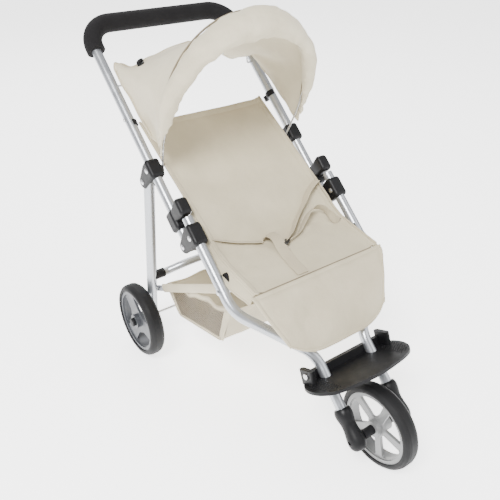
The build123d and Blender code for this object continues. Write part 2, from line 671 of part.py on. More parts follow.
# Harness ------------------------------------------------------------------------------
STRAP = 2.0
STRAP_HALF_WIDTH = 10.5
CROTCH_STRAP_X = -12.0
CROTCH_STRAP = [(-31, 291.5), (-41, 295.5), (-51, 291.5), (-62, 285.0), (-116, 275.0)]
save(cloth_strip(CROTCH_STRAP, STRAP, CROTCH_STRAP_X - STRAP_HALF_WIDTH, CROTCH_STRAP_X + STRAP_HALF_WIDTH),
     "crotch_strap")

waist_plane = Plane(origin=(0, -19.0, 300.0), x_dir=(1, 0, 0), z_dir=(0, -0.25, 1))
for side, sign in SIDES.items():
    with BuildPart() as waist_strap:
        with BuildSketch(waist_plane.offset(5.0 if sign > 0 else 8.0)):
            with BuildLine():
                Polyline((sign * 4, -14), (sign * 52, -6), (sign * 118, 0))
            trace(line_width=14)
        extrude(amount=STRAP)
    save(waist_strap.part, f"waist_strap_{side}")

with BuildPart() as buckle:
    with BuildSketch(waist_plane.offset(10.4)):
        with Locations((0, -14)):
            RectangleRounded(18, 22, 4)
    extrude(amount=4.5)
save(buckle.part, "harness_buckle")

RING_STATION = 208.0
RING_WALL = 2.2
RING_WIDTH = 9.0
EYE_DROP = 14.0
rings = []
for sign in SIDES.values():
    x_tube = sign * FRAME_HALF_WIDTH
    ring_plane = Plane(origin=on_frame(RING_STATION, 0, x_tube), x_dir=(1, 0, 0), z_dir=(0, COS, SIN))
    with BuildPart() as seat_ring:
        with BuildSketch(ring_plane):
            Circle(UPPER_RADIUS + RING_WALL)
            with Locations((sign * (UPPER_RADIUS + RING_WALL), 0)):
                Rectangle(2 * (UPPER_RADIUS + RING_WALL), 4 * UPPER_RADIUS, mode=Mode.SUBTRACT)
            with Locations((-sign * 2.5, EYE_DROP / 2)):
                Rectangle(5, EYE_DROP)
            with Locations((-sign * 3.5, EYE_DROP)):
                Circle(4.5)
                Circle(2.0, mode=Mode.SUBTRACT)
            Circle(UPPER_RADIUS, mode=Mode.SUBTRACT)
        extrude(amount=RING_WIDTH)
    rings.append(seat_ring.part)
group(rings, "seat_rings")

clips = []
CLIP_STATION = -86.0
for sign in SIDES.values():
    with BuildPart() as seat_clip:
        with BuildSketch(frame_plane(sign * (FRAME_HALF_WIDTH - LOWER_RADIUS - 3.0))):
            with Locations((CLIP_STATION, TUBE_GAP + 6.5)):
                RectangleRounded(16, 14, 3)
        extrude(amount=2.2, both=True)
    clips.append(seat_clip.part)
group(clips, "seat_clips")

tube_plugs = []
for sign in SIDES.values():
    with BuildPart() as tube_plug:
        plug_at = on_frame(STUB_TOP - 8, TUBE_GAP, sign * FRAME_HALF_WIDTH)
        with BuildSketch(Plane(origin=plug_at, z_dir=(0, COS, SIN))):
            Circle(LOWER_RADIUS - TUBE_WALL - 0.06)
        extrude(amount=8)
    tube_plugs.append(tube_plug.part)
group(tube_plugs, "lower_tube_plugs")


# Basket -------------------------------------------------------------------------------
BASKET_SIDE = [(133.0, 151.0), (106.0, 97.0), (-30.0, 129.0), (-70.0, 216.0)]
MESH_THICKNESS = 1.6
save(cloth_strip(BASKET_SIDE, CLOTH, -BASKET_HALF_WIDTH, BASKET_HALF_WIDTH), "basket")
for side, sign in SIDES.items():
    inner = sign * (BASKET_HALF_WIDTH + 0.1)
    x_low, x_high = sorted((inner, inner + sign * MESH_THICKNESS))
    save(slab(side_plane, BASKET_SIDE, x_low, x_high), f"basket_mesh_{side}")


# Hood ---------------------------------------------------------------------------------
HOOD_FOOT = (102.0, 415.0)          # Y and Z of the hood's lower tips
RIM_TILT = 17.0
RIM_THICKNESS = 24.0
RIM_FORWARD = 8.0
BOW_RADIUS = 1.6
BOW_TILT = 21.2
BOW_FOOT_HALF = 127.0
BOW_HALF = 133.0
BOW_SHOULDER = 103.0
BOW_HEIGHT = 236.0
REAR_BOW_STATION = 285.0
REAR_BOW_RISE = 26.0


def arch_lines(half_width, shoulder, lean, crown, height):
    """A closed arch: a leg up to each shoulder, then one smooth curve a side to the crown.

    The lean is how far in and up the curve's first handle is; the crown is its second handle's
    distance from the middle.
    """
    for way in (-1, 1):
        foot = (way * half_width, 0)
        bend = (way * half_width, shoulder)
        Line(foot, bend)
        Bezier(bend, (way * (half_width - lean[0]), shoulder + lean[1]), (way * crown, height), (0, height))
    Line((-half_width, 0), (half_width, 0))


bow_pin = FRAME_HALF_WIDTH - BRACKET_HALF
with BuildPart() as front_bow:
    with BuildLine(arch_plane(HOOD_PIVOT[1], HOOD_PIVOT[2], BOW_TILT)) as bow_path:
        for way in (-1, 1):
            FilletPolyline((way * bow_pin, 0), (way * BOW_FOOT_HALF, 0), (way * BOW_HALF, 52),
                           (way * BOW_HALF, BOW_SHOULDER), radius=[2.5, 20])
            Bezier((way * BOW_HALF, BOW_SHOULDER), (way * BOW_HALF, BOW_SHOULDER + 62),
                   (way * 58, BOW_HEIGHT), (0, BOW_HEIGHT))
    with BuildSketch(Plane(origin=(-bow_pin, HOOD_PIVOT[1], HOOD_PIVOT[2]), z_dir=(1, 0, 0))):
        Circle(BOW_RADIUS)
    sweep(path=Wire(bow_path.edges()))
save(front_bow.part, "hood_front_bow")

with BuildPart() as hood_rim:
    with BuildSketch(arch_plane(HOOD_FOOT[0] - RIM_FORWARD, HOOD_FOOT[1], RIM_TILT)):
        with BuildLine():
            arch_lines(145, 80, (0, 62), 60, 218)
        make_face()
        with BuildSketch(mode=Mode.SUBTRACT):
            with BuildLine():
                arch_lines(134, 1, (22, 139), 90, 177)
            make_face()
    extrude(amount=RIM_THICKNESS / 2, both=True)
    add(front_bow.part, mode=Mode.SUBTRACT)
save(hood_rim.part, "hood_rim")

HOOD_REAR_FOOT = (241.0, 505.0)
REAR_TILT = 30.0
HOOD_FRONT_OFFSET = 15.0
front_section = arch_plane(HOOD_FOOT[0] - RIM_FORWARD + HOOD_FRONT_OFFSET, HOOD_FOOT[1] + 1, RIM_TILT - 3)
rear_section = arch_plane(HOOD_REAR_FOOT[0], HOOD_REAR_FOOT[1], REAR_TILT)
with BuildPart() as hood_top:
    for shrink, mode in ((0.0, Mode.ADD), (CLOTH, Mode.SUBTRACT)):
        with BuildSketch(front_section):
            with BuildLine():
                arch_lines(HOOD_HALF_WIDTH + 3 - shrink, 78, (0, 62), 60, 210 - shrink)
            make_face()
        with BuildSketch(rear_section):
            with BuildLine():
                arch_lines(HOOD_HALF_WIDTH - 1 - shrink, 6, (0, 16), 92, 34 - shrink)
            make_face()
        loft(mode=mode)
save(hood_top.part, "hood_top")

rear_bow_inner = FRAME_HALF_WIDTH - UPPER_RADIUS - 0.02
rear_at = on_frame(REAR_BOW_STATION)
rear_up = (rear_at[1] - 4.0, rear_at[2] + REAR_BOW_RISE)
rear_bow_points = [
    (-rear_bow_inner, rear_at[1], rear_at[2]),
    (-128, rear_at[1], rear_at[2]),
    (-122, rear_up[0], rear_up[1]),
    (122, rear_up[0], rear_up[1]),
    (128, rear_at[1], rear_at[2]),
    (rear_bow_inner, rear_at[1], rear_at[2]),
]
save(bent_rod(rear_bow_points, [3.0, 12.0, 12.0, 3.0], BOW_RADIUS), "hood_rear_bow")

BUTTON_AT = (-97.0, 229.0, 524.0)
button_plane = Plane(origin=BUTTON_AT, x_dir=(0.35, 0.94, 0.12), z_dir=(-0.55, 0.1, 0.83))
with BuildPart() as hood_button:
    with BuildSketch(button_plane):
        SlotOverall(26, 13)
    extrude(amount=3.2)
    fillet(hood_button.faces().sort_by(Axis.Z)[-1].edges(), 1.4)
    add(hood_top.part, mode=Mode.SUBTRACT)
save(hood_button.part, "hood_button")
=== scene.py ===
"""Looks of the folding doll stroller: sewn cloth, padded hood rim, webbing, net and finishes."""

import logging
import math
from collections.abc import Callable, Sequence
from dataclasses import dataclass
from enum import Enum
from functools import partial

import bmesh
import bpy
from mathutils import Matrix, Vector, noise


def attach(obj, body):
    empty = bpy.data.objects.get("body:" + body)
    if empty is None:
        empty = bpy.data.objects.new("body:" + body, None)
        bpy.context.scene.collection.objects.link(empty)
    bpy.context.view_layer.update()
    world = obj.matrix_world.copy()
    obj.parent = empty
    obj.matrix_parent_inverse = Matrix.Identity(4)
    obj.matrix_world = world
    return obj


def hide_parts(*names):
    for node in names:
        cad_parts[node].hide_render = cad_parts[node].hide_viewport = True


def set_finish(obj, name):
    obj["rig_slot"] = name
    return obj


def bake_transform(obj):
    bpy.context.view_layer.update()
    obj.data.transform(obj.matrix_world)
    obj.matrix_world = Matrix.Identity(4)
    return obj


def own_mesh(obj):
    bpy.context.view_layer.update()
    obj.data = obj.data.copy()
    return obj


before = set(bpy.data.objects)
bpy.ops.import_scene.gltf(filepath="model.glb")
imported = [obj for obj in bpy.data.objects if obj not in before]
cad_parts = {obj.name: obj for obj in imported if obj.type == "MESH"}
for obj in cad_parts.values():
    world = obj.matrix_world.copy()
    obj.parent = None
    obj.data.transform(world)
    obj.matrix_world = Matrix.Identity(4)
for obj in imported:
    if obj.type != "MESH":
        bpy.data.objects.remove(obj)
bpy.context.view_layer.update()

LOG = logging.getLogger("doll_stroller")
MM = 0.001
HOOD_FOOT_Y = 102.0
HOOD_FOOT_Z = 415.0
BUTTON_AT = (-0.097, 0.229, 0.524)
BUTTON_REACH = 0.020
SLING_HALF_WIDTH = 124.0
SEAT_CREASE = 0.62
APRON_DROP = 113.0
STRAP_SQUARENESS = 0.55
LEG_SHARE = 0.3                 # how much of half an arch its straight leg takes
Point = tuple[float, float]
Surface = Callable[[float, float], Vector]


# Finishes -------------------------------------------------------------------------------
@dataclass(frozen=True)
class ClothFinish:
    """How a woven cloth looks."""

    # light and shade are lit and shaded tones of the same cloth, mixed in the weave as painted shade
    light: tuple[float, float, float]
    shade: tuple[float, float, float]
    thread: float = 0.55
    bump: float = 0.22
    crease: float = 0.25


@dataclass(frozen=True)
class HardFinish:
    """How a metal or a moulded piece looks."""

    colour: tuple[float, float, float]
    metallic: float
    roughness: float
    grain: float
    bump: float
    coat: float = 0.0
    gloss: float = 0.5


class Finish(Enum):
    """The finishes on the stroller."""

    SEAT_CLOTH = ClothFinish((0.520, 0.462, 0.330), (0.395, 0.342, 0.236), crease=0.5)
    HOOD_CLOTH = ClothFinish((0.560, 0.505, 0.372), (0.440, 0.388, 0.278), crease=0.6)
    BINDING = ClothFinish((0.500, 0.440, 0.312), (0.350, 0.298, 0.202), thread=0.8, bump=0.3)
    # a dark tone painted along seams as the shadow in their creases
    SEAM_SHADOW = ClothFinish((0.210, 0.172, 0.112), (0.140, 0.112, 0.070), thread=1.6, bump=0.4)
    WEBBING = ClothFinish((0.480, 0.420, 0.295), (0.345, 0.292, 0.196), thread=1.4, bump=0.4)
    NET = ClothFinish((0.105, 0.076, 0.044), (0.060, 0.042, 0.024), thread=1.0, bump=0.3)
    TUBE = HardFinish((0.400, 0.415, 0.440), 0.80, 0.30, 900.0, 0.02, 0.25)
    STEEL = HardFinish((0.560, 0.565, 0.580), 1.0, 0.28, 1400.0, 0.03)
    BRACKET = HardFinish((0.0045, 0.0045, 0.0052), 0.0, 0.46, 1500.0, 0.10, gloss=0.22)
    PLUG = HardFinish((0.0060, 0.0060, 0.0068), 0.0, 0.52, 1300.0, 0.10, gloss=0.22)
    FOAM = HardFinish((0.0065, 0.0060, 0.0065), 0.0, 0.85, 2300.0, 0.35, gloss=0.20)
    TYRE = HardFinish((0.0050, 0.0050, 0.0055), 0.0, 0.60, 1100.0, 0.18, gloss=0.24)
    RIM_FRONT = HardFinish((0.200, 0.202, 0.202), 0.25, 0.36, 700.0, 0.05)
    RIM_REAR = HardFinish((0.060, 0.063, 0.070), 0.20, 0.40, 700.0, 0.05)
    BUTTON = HardFinish((0.008, 0.008, 0.008), 0.2, 0.25, 500.0, 0.02)
    BUCKLE = HardFinish((0.012, 0.011, 0.010), 0.0, 0.38, 900.0, 0.05)


NODE_FINISHES: dict[Finish, tuple[str, ...]] = {
    Finish.TUBE: ("lower_tube_left", "lower_tube_right", "upper_tube_left", "upper_tube_right", "handle_bar",
                  "rear_leg_left", "rear_leg_right", "rear_cross_tube"),
    Finish.STEEL: ("side_clamp_rivets", "leg_bracket_rivets", "link_rivets", "footrest_screws", "front_axle",
                   "rear_axle", "side_link_left", "side_link_right", "snap_button_left", "snap_button_right",
                   "hood_front_bow", "hood_rear_bow"),
    Finish.BRACKET: ("side_clamp_left", "side_clamp_right", "leg_bracket_left", "leg_bracket_right",
                     "fold_lock_left", "fold_lock_right", "fork_cap_left", "fork_cap_right", "footrest"),
    Finish.PLUG: ("front_spacers", "lower_tube_plugs", "cross_tube_plugs", "axle_caps", "seat_clips",
                  "seat_rings"),
    Finish.FOAM: ("handle_grip",),
    Finish.TYRE: ("front_tyre", "rear_tyre_left", "rear_tyre_right"),
    Finish.RIM_FRONT: ("front_rim",),
    Finish.RIM_REAR: ("rear_rim_left", "rear_rim_right"),
    Finish.BUTTON: ("hood_button",),
}


def add_node(tree: bpy.types.NodeTree, kind: str, **inputs: float) -> bpy.types.Node:
    """A shader node with its inputs set; an underscore in a name stands for a space.

    Args:
        tree: the tree that it goes in.
        kind: the node's type, without the ShaderNode prefix.
        inputs: input names and values.
    """
    made = tree.nodes.new(f"ShaderNode{kind}")
    for name, value in inputs.items():
        made.inputs[name.replace("_", " ")].default_value = value
    return made


class MaterialShop:
    """Makes each finish once, on two shared node groups."""

    def __init__(self) -> None:
        self.made: dict[str, bpy.types.Material] = {}
        self.weave = self._weave_group()
        self.grain = self._grain_group()

    @staticmethod
    def _group(name: str, inputs: Sequence[tuple[str, str]], outputs: Sequence[tuple[str, str]]):
        """An empty node group with its sockets.

        Args:
            name: the group's name.
            inputs: name and socket type of each input.
            outputs: name and socket type of each output.

        Returns:
            The group, its input node and its output node.
        """
        group = bpy.data.node_groups.new(name, "ShaderNodeTree")
        for label, kind in inputs:
            group.interface.new_socket(label, in_out="INPUT", socket_type=kind)
        for label, kind in outputs:
            group.interface.new_socket(label, in_out="OUTPUT", socket_type=kind)
        return group, group.nodes.new("NodeGroupInput"), group.nodes.new("NodeGroupOutput")

    def _weave_group(self) -> bpy.types.NodeTree:
        """Plain weave: crossed threads, soft creases, painted shade that mixes Light towards Shade along the
        crease noise, and random fibre tone.
        """
        group, into, out = self._group(
            "Weave",
            [("Light", "NodeSocketColor"), ("Shade", "NodeSocketColor"), ("Thread", "NodeSocketFloat"),
             ("Bump", "NodeSocketFloat"), ("Crease", "NodeSocketFloat")],
            [("Colour", "NodeSocketColor"), ("Normal", "NodeSocketVector"), ("Rough", "NodeSocketFloat")],
        )
        links = group.links
        place = add_node(group, "TexCoord")
        scale = add_node(group, "VectorMath")
        scale.operation = "SCALE"
        links.new(place.outputs["Object"], scale.inputs[0])
        links.new(into.outputs["Thread"], scale.inputs["Scale"])
        waves = []
        for axis in ("X", "Y", "Z"):
            wave = add_node(group, "TexWave", Scale=420.0, Distortion=0.6, Detail=1.0)
            wave.wave_type = "BANDS"
            wave.bands_direction = axis
            links.new(scale.outputs["Vector"], wave.inputs["Vector"])
            waves.append(wave)
        crossed = add_node(group, "Math")
        crossed.operation = "MAXIMUM"
        links.new(waves[0].outputs["Fac"], crossed.inputs[0])
        links.new(waves[1].outputs["Fac"], crossed.inputs[1])
        threads = add_node(group, "Math")
        threads.operation = "MULTIPLY_ADD"
        threads.inputs[1].default_value = 0.4
        links.new(waves[2].outputs["Fac"], threads.inputs[0])
        links.new(crossed.outputs[0], threads.inputs[2])
        fold = add_node(group, "TexNoise", Scale=16.0, Detail=5.0, Roughness=0.55)
        links.new(place.outputs["Object"], fold.inputs["Vector"])
        fibre = add_node(group, "TexNoise", Scale=900.0, Detail=3.0)
        links.new(place.outputs["Object"], fibre.inputs["Vector"])
        # painted shade: the cloth turns towards its Shade colour along the crease noise, plus random fibre
        # tone
        crease_shade = add_node(group, "MapRange", From_Min=0.32, From_Max=0.68, To_Min=0.0, To_Max=0.55)
        links.new(fold.outputs["Fac"], crease_shade.inputs["Value"])
        fibre_tone_and_crease_shade = add_node(group, "Math")
        fibre_tone_and_crease_shade.operation = "MULTIPLY_ADD"
        fibre_tone_and_crease_shade.inputs[1].default_value = 0.35
        fibre_tone_and_crease_shade.use_clamp = True
        links.new(fibre.outputs["Fac"], fibre_tone_and_crease_shade.inputs[0])
        links.new(crease_shade.outputs["Result"], fibre_tone_and_crease_shade.inputs[2])
        mix = add_node(group, "Mix")
        mix.data_type = "RGBA"
        links.new(fibre_tone_and_crease_shade.outputs[0], mix.inputs["Factor"])
        links.new(into.outputs["Light"], mix.inputs[6])
        links.new(into.outputs["Shade"], mix.inputs[7])
        fine = add_node(group, "Bump", Distance=0.0004)
        links.new(into.outputs["Bump"], fine.inputs["Strength"])
        links.new(threads.outputs[0], fine.inputs["Height"])
        soft = add_node(group, "Bump", Distance=0.006)
        links.new(into.outputs["Crease"], soft.inputs["Strength"])
        links.new(fold.outputs["Fac"], soft.inputs["Height"])
        links.new(fine.outputs["Normal"], soft.inputs["Normal"])
        rough = add_node(group, "MapRange", To_Min=0.78, To_Max=0.95)
        links.new(fibre.outputs["Fac"], rough.inputs["Value"])
        links.new(mix.outputs[2], out.inputs["Colour"])
        links.new(soft.outputs["Normal"], out.inputs["Normal"])
        links.new(rough.outputs["Result"], out.inputs["Rough"])
        return group

    def _grain_group(self) -> bpy.types.NodeTree:
        """Fine grain on paint and mouldings, with uneven gloss and light handling marks."""
        group, into, out = self._group(
            "Grain",
            [("Base", "NodeSocketColor"), ("Roughness", "NodeSocketFloat"), ("Grain", "NodeSocketFloat"),
             ("Bump", "NodeSocketFloat")],
            [("Colour", "NodeSocketColor"), ("Normal", "NodeSocketVector"), ("Rough", "NodeSocketFloat")],
        )
        links = group.links
        place = add_node(group, "TexCoord")
        grain = add_node(group, "TexNoise", Detail=4.0)
        links.new(place.outputs["Object"], grain.inputs["Vector"])
        links.new(into.outputs["Grain"], grain.inputs["Scale"])
        marks = add_node(group, "TexNoise", Scale=42.0, Detail=6.0, Roughness=0.6)
        links.new(place.outputs["Object"], marks.inputs["Vector"])
        spread = add_node(group, "MapRange", From_Min=0.3, From_Max=0.7, To_Min=-0.06, To_Max=0.08)
        links.new(marks.outputs["Fac"], spread.inputs["Value"])
        rough = add_node(group, "Math")
        rough.operation = "ADD"
        rough.use_clamp = True
        links.new(into.outputs["Roughness"], rough.inputs[0])
        links.new(spread.outputs["Result"], rough.inputs[1])
        tint = add_node(group, "MapRange", To_Min=0.86, To_Max=1.12)
        links.new(marks.outputs["Fac"], tint.inputs["Value"])
        shade = add_node(group, "VectorMath")
        shade.operation = "SCALE"
        links.new(into.outputs["Base"], shade.inputs[0])
        links.new(tint.outputs["Result"], shade.inputs["Scale"])
        bump = add_node(group, "Bump", Distance=0.0005)
        links.new(into.outputs["Bump"], bump.inputs["Strength"])
        links.new(grain.outputs["Fac"], bump.inputs["Height"])
        links.new(shade.outputs["Vector"], out.inputs["Colour"])
        links.new(bump.outputs["Normal"], out.inputs["Normal"])
        links.new(rough.outputs[0], out.inputs["Rough"])
        return group

    def get(self, finish: Finish) -> bpy.types.Material:
        """The material for a finish.

        Args:
            finish: which finish.

        Returns:
            Its material, made on first use.
        """
        if finish.name in self.made:
            return self.made[finish.name]
        made = bpy.data.materials.new(finish.name.lower())
        made.use_nodes = True
        nodes, links = made.node_tree.nodes, made.node_tree.links
        shader = nodes["Principled BSDF"]
        effect = nodes.new("ShaderNodeGroup")
        look = finish.value
        if isinstance(look, ClothFinish):
            effect.node_tree = self.weave
            effect.inputs["Light"].default_value = (*look.light, 1)
            effect.inputs["Shade"].default_value = (*look.shade, 1)
            effect.inputs["Thread"].default_value = look.thread
            effect.inputs["Bump"].default_value = look.bump
            effect.inputs["Crease"].default_value = look.crease
            shader.inputs["Sheen Weight"].default_value = 0.12
            shader.inputs["Sheen Roughness"].default_value = 0.5
            made.diffuse_color = (*look.light, 1)
        else:
            effect.node_tree = self.grain
            effect.inputs["Base"].default_value = (*look.colour, 1)
            effect.inputs["Roughness"].default_value = look.roughness
            effect.inputs["Grain"].default_value = look.grain
            effect.inputs["Bump"].default_value = look.bump
            shader.inputs["Metallic"].default_value = look.metallic
            shader.inputs["Coat Weight"].default_value = look.coat
            shader.inputs["Specular IOR Level"].default_value = look.gloss
            shader.inputs["Coat Roughness"].default_value = 0.25
            made.diffuse_color = (*look.colour, 1)
        links.new(effect.outputs["Colour"], shader.inputs["Base Color"])
        links.new(effect.outputs["Rough"], shader.inputs["Roughness"])
        links.new(effect.outputs["Normal"], shader.inputs["Normal"])
        self.made[finish.name] = made
        return made


# Shared shapes ----------------------------------------------------------------------------
def bezier(points: Sequence[Sequence[float]], t: float) -> Vector:
    """A cubic curve's point at t."""
    a, b, c, d = (Vector(p) for p in points)
    s = 1 - t
    return a * s ** 3 + b * (3 * s * s * t) + c * (3 * s * t * t) + d * t ** 3


def catmull(points: Sequence[Vector], t: float) -> Vector:
    """A smooth open curve through points, at t from 0 to 1."""
    last = len(points) - 1
    at = min(max(t, 0.0), 1.0) * last
    i = min(int(at), last - 1)
    f = at - i
    p0, p1, p2, p3 = points[max(i - 1, 0)], points[i], points[i + 1], points[min(i + 2, last)]
    return 0.5 * ((2 * p1) + (p2 - p0) * f + (2 * p0 - 5 * p1 + 4 * p2 - p3) * f ** 2
                  + (3 * p1 - p0 - 3 * p2 + p3) * f ** 3)


def blend_steps(low: float, high: float, x: float) -> float:
    """A smooth step from 0 at low to 1 at high."""
    t = min(max((x - low) / (high - low), 0.0), 1.0)
    return t * t * (3 - 2 * t)


def edge_stations(length: float, hem: float, count: int) -> list[float]:
    """Fractions along a cloth's width, packed close at both hems.

    Args:
        length: the cloth's width in millimetres.
        hem: the hem's width in millimetres.
        count: how many even steps lie between the hems.

    Returns:
        Rising fractions from 0 to 1.
    """
    edge = [0.0, 0.5, hem * 0.5, hem - 1.2, hem - 0.3, hem + 0.3, hem + 1.4]
    middle = [edge[-1] + (length - 2 * edge[-1]) * i / count for i in range(1, count)]
    return [d / length for d in edge + middle] + [1 - d / length for d in reversed(edge)]


def object_from(mesh: bmesh.types.BMesh, name: str, material: bpy.types.Material) -> bpy.types.Object:
    """An object from a bmesh, smooth-shaded, with its normals outward.

    Args:
        mesh: the bmesh, which is freed.
        name: the object's name.
        material: its material.

    Returns:
        The object, linked to the scene.
    """
    bmesh.ops.remove_doubles(mesh, verts=mesh.verts, dist=1e-6)
    bmesh.ops.recalc_face_normals(mesh, faces=mesh.faces)
    data = bpy.data.meshes.new(name)
    mesh.to_mesh(data)
    mesh.free()
    data.materials.append(material)
    for polygon in data.polygons:
        polygon.use_smooth = True
    made = bpy.data.objects.new(name, data)
    bpy.context.scene.collection.objects.link(made)
    return made


@dataclass
class Panel:
    """A cloth panel with folded hems and a stitched groove inside them."""

    name: str
    surface: Surface
    size: Point
    material: bpy.types.Material
    thickness: float = 1.5
    hem: float = 7.0
    hem_lift: float = 0.9
    steps: tuple[int, int] = (40, 40)
    ripple: float = 0.8
    ripple_scale: float = 24.0
    hems: tuple[bool, bool, bool, bool] = (True, True, True, True)

    def _lift(self, u: float, v: float) -> float:
        """Half the thickness at a point, raised on the hems and drawn in at the stitches."""
        width, length = self.size
        sides = (u * width, (1 - u) * width, v * length, (1 - v) * length)
        half = self.thickness / 2
        lift = 0.0
        for distance, wanted in zip(sides, self.hems, strict=True):
            if not wanted:
                continue
            if distance < self.hem - 0.8:
                lift = max(lift, self.hem_lift * min(1.0, 0.35 + distance / 2))
            elif distance < self.hem + 0.6:
                lift = min(lift, 0.0) if lift == 0.0 else lift
                half = self.thickness * 0.22
        return half + lift

    def build(self) -> bpy.types.Object:
        """Builds both faces of the cloth and closes them round the border.

        Returns:
            The panel's object.
        """
        width, length = self.size
        across = edge_stations(width, self.hem, self.steps[0])
        along = edge_stations(length, self.hem, self.steps[1])
        mesh = bmesh.new()
        faces: list[list[list[bmesh.types.BMVert]]] = [[], []]
        small = 1e-3
        for v in along:
            rows: tuple[list, list] = ([], [])
            for u in across:
                at = self.surface(u, v)
                du = self.surface(min(u + small, 1), v) - self.surface(max(u - small, 0), v)
                dv = self.surface(u, min(v + small, 1)) - self.surface(u, max(v - small, 0))
                normal = du.cross(dv).normalized()
                wave = noise.fractal(at * self.ripple_scale, 1.0, 2.0, 4) * self.ripple * MM
                middle = at + normal * wave
                half = self._lift(u, v) * MM
                rows[0].append(mesh.verts.new(middle + normal * half))
                rows[1].append(mesh.verts.new(middle - normal * half))
            faces[0].append(rows[0])
            faces[1].append(rows[1])
        last_v, last_u = len(along) - 1, len(across) - 1
        for j in range(last_v):
            for i in range(last_u):
                for side, grid in enumerate(faces):
                    quad = [grid[j][i], grid[j][i + 1], grid[j + 1][i + 1], grid[j + 1][i]]
                    mesh.faces.new(quad if side == 0 else quad[::-1])
        top, under = faces
        border = [(0, i) for i in range(last_u)] + [(j, last_u) for j in range(last_v)]
        border += [(last_v, i) for i in range(last_u, 0, -1)] + [(j, 0) for j in range(last_v, 0, -1)]
        for k, (j, i) in enumerate(border):
            nj, ni = border[(k + 1) % len(border)]
            mesh.faces.new([top[j][i], under[j][i], under[nj][ni], top[nj][ni]])
        return object_from(mesh, self.name, self.material)


@dataclass
class Tube:
    """A round or flat strip swept along a smooth line, such as piping or webbing."""

    name: str
    points: Sequence[Sequence[float]]
    material: bpy.types.Material
    half_width: float = 1.2
    half_height: float = 1.2
    up: tuple[float, float, float] = (0.0, 0.0, 1.0)
    samples: int = 60
    sides: int = 10
    twist: Callable[[float], float] | None = None

    def build(self) -> bpy.types.Object:
        """Sweeps the section and closes both ends.

        Returns:
            The strip's object.
        """
        path = [Vector(p) * MM for p in self.points]
        mesh = bmesh.new()
        rings = []
        for k in range(self.samples + 1):
            t = k / self.samples
            at = catmull(path, t)
            way = (catmull(path, t + 0.01) - catmull(path, t - 0.01)).normalized()
            side = way.cross(Vector(self.up)).normalized()
            if self.twist:
                side = Matrix.Rotation(self.twist(t), 3, way) @ side
            over = side.cross(way).normalized()
            ring = []
            for s in range(self.sides):
                angle = 2 * math.pi * s / self.sides
                c, d = math.cos(angle), math.sin(angle)
                if self.half_width > 2 * self.half_height:
                    c = math.copysign(abs(c) ** STRAP_SQUARENESS, c)
                    d = math.copysign(abs(d) ** STRAP_SQUARENESS, d)
                out = side * (c * self.half_width * MM) + over * (d * self.half_height * MM)
                ring.append(mesh.verts.new(at + out))
            rings.append(ring)
        for a, b in zip(rings, rings[1:]):
            for s in range(self.sides):
                n = (s + 1) % self.sides
                mesh.faces.new([a[s], a[n], b[n], b[s]])
        mesh.faces.new(rings[0][::-1])
        mesh.faces.new(rings[-1])
        return object_from(mesh, self.name, self.material)


def hood_point(across: float, height: float, lean: float) -> Vector:
    """A point on an arch's plane through the hood's lower tips, in metres.

    Args:
        across: X in millimetres.
        height: millimetres up the plane.
        lean: how far the plane leans forwards, in degrees.
    """
    a = math.radians(lean)
    return Vector((across, HOOD_FOOT_Y - height * math.sin(a), HOOD_FOOT_Z + height * math.cos(a))) * MM


def arch_at(s: float, leg: Point, shoulder: Point, controls: Sequence[Point]) -> Vector:
    """Half an arch in its own plane: a leg, then a curve to the crown.

    Args:
        s: 0 at the foot, 1 at the crown.
        leg: across and height of the foot.
        shoulder: where the curve starts.
        controls: the curve's two handles and its crown.
    """
    if s < LEG_SHARE:
        return Vector(leg).lerp(Vector(shoulder), s / LEG_SHARE)
    return bezier([shoulder, *controls], (s - LEG_SHARE) / (1 - LEG_SHARE))


def mirrored(u: float) -> Point:
    """The side and the fraction up half an arch for u across a whole arch."""
    return (-1.0, u * 2) if u <= 0.5 else (1.0, (1 - u) * 2)


def seam_arch(u: float) -> Vector:
    """The seam between the hood's top and its padded rim, u from the left foot to the right."""
    side, s = mirrored(u)
    x, h = arch_at(s, (139, 0), (137, 60), [(135, 150), (70, 205), (0, 205)])
    return hood_point(side * x, h, 9)


